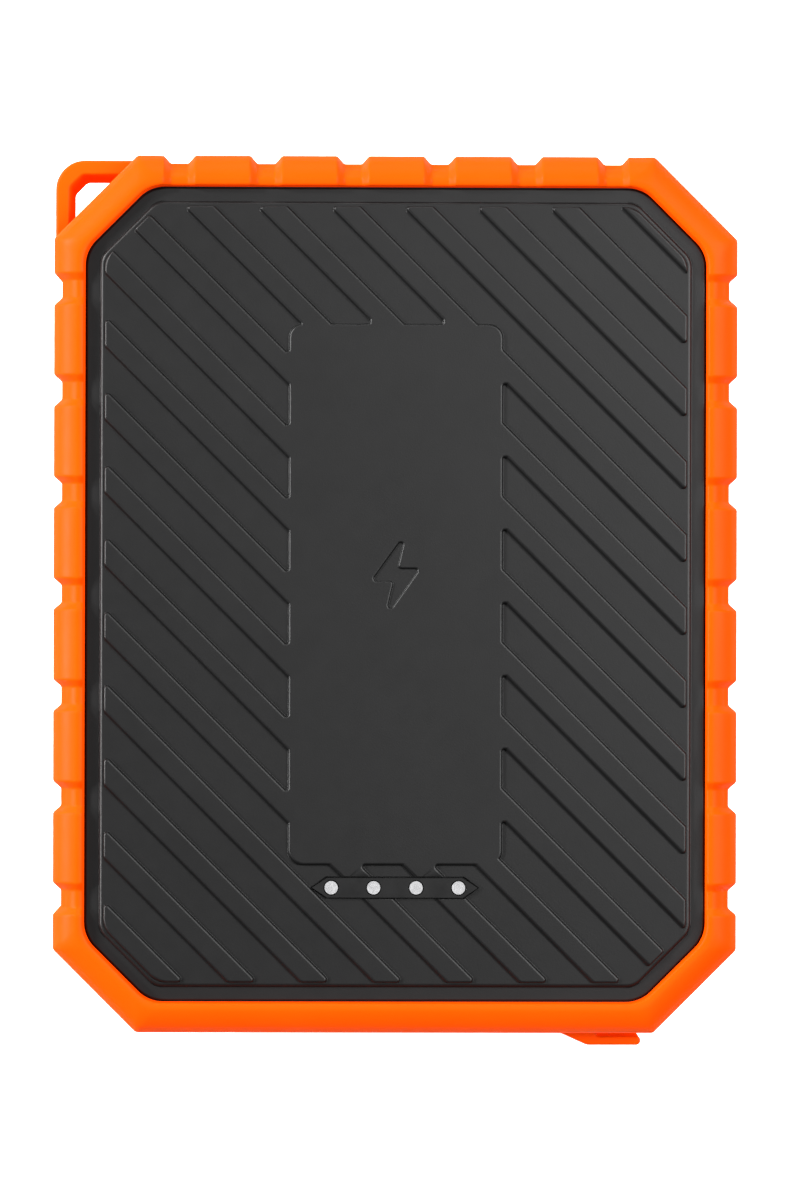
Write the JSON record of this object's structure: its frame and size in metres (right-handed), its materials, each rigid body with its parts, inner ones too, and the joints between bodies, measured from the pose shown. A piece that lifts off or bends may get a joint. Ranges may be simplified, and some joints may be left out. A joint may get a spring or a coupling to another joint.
{
  "type": "power bank",
  "caption": "Rugged portable battery with a ribbed cover, notched rubber bumper, lanyard loop, hinged port flap, indicator windows and a side button.",
  "frame": {"origin": "centre of the rear face, on which it rests", "axes": "+X across the width to the button side, +Y along the length away from the ports, +Z through the thickness, out of the ribbed front"},
  "size_m": [0.093, 0.1216, 0.024],
  "materials": {
    "bumper_rubber": "satin",
    "black_shell": "fine moulded grain",
    "strip_black": "satin",
    "window_white": "diffusing",
    "seal_rubber": "matt",
    "label_film": "satin film",
    "steel": "plated",
    "port_shell": "plated",
    "port_white": "satin",
    "port_black": "satin",
    "contact_gold": "polished",
    "board_green": "solder mask",
    "chip_black": "matt",
    "switch_body": "matt",
    "switch_ivory": "matt",
    "led_body": "clear",
    "capacitor_tan": "fired",
    "capacitor_can": "drawn",
    "ferrite": "sintered",
    "copper_wire": "enamelled",
    "cell_foil": "laminate foil",
    "nickel": "bright",
    "wire_red": "satin",
    "wire_black": "satin",
    "foam": "open cell",
    "fish_paper": "paper"
  },
  "bodies": {
    "case": {"bumper": "bumper_rubber", "front_cover": "black_shell", "rear_cover": "black_shell", "cover_gasket": "seal_rubber", "indicator_strip": "strip_black", "light_guide": "window_white", "rear_label": "label_film", "case_screws": "steel", "port_frame": "black_shell", "flap_hinge_pin": "steel", "tact_switch": "switch_body", "main_pcb": "board_green", "pcb_screws": "steel", "usb_a_shells": "port_shell", "usb_a_tongues": "port_white", "usb_a_contacts": "contact_gold", "usb_c_shell": "port_shell", "usb_c_tongue": "port_black", "usb_c_contacts": "contact_gold", "indicator_leds": "led_body", "controller_ic": "chip_black", "power_mosfets": "chip_black", "ceramic_capacitors": "capacitor_tan", "polymer_capacitors": "capacitor_can", "inductor_core": "ferrite", "inductor_winding": "copper_wire", "lower_cell": "cell_foil", "upper_cell": "cell_foil", "cell_tabs": "nickel", "protection_board": "board_green", "thermistor": "chip_black", "positive_lead": "wire_red", "negative_lead": "wire_black", "cell_pads": "foam", "insulation_sheet": "fish_paper"},
    "flap": {"port_flap": "bumper_rubber", "flap_core": "black_shell", "flap_seal": "seal_rubber"},
    "button": {"button_cap": "strip_black", "switch_plunger": "switch_ivory"}
  },
  "joints": [
    {"name": "flap_hinge", "type": "hinge", "parent": "case", "child": "flap", "pos_m": [-0.026, -0.05825, 0.012], "axis": [0, 0, -1], "range_deg": [0, 105]},
    {"name": "button_press", "type": "slide", "parent": "case", "child": "button", "axis": [-1, 0, 0], "range_m": [0, 0.0005], "stiffness_N_per_m": 400}
  ]
}
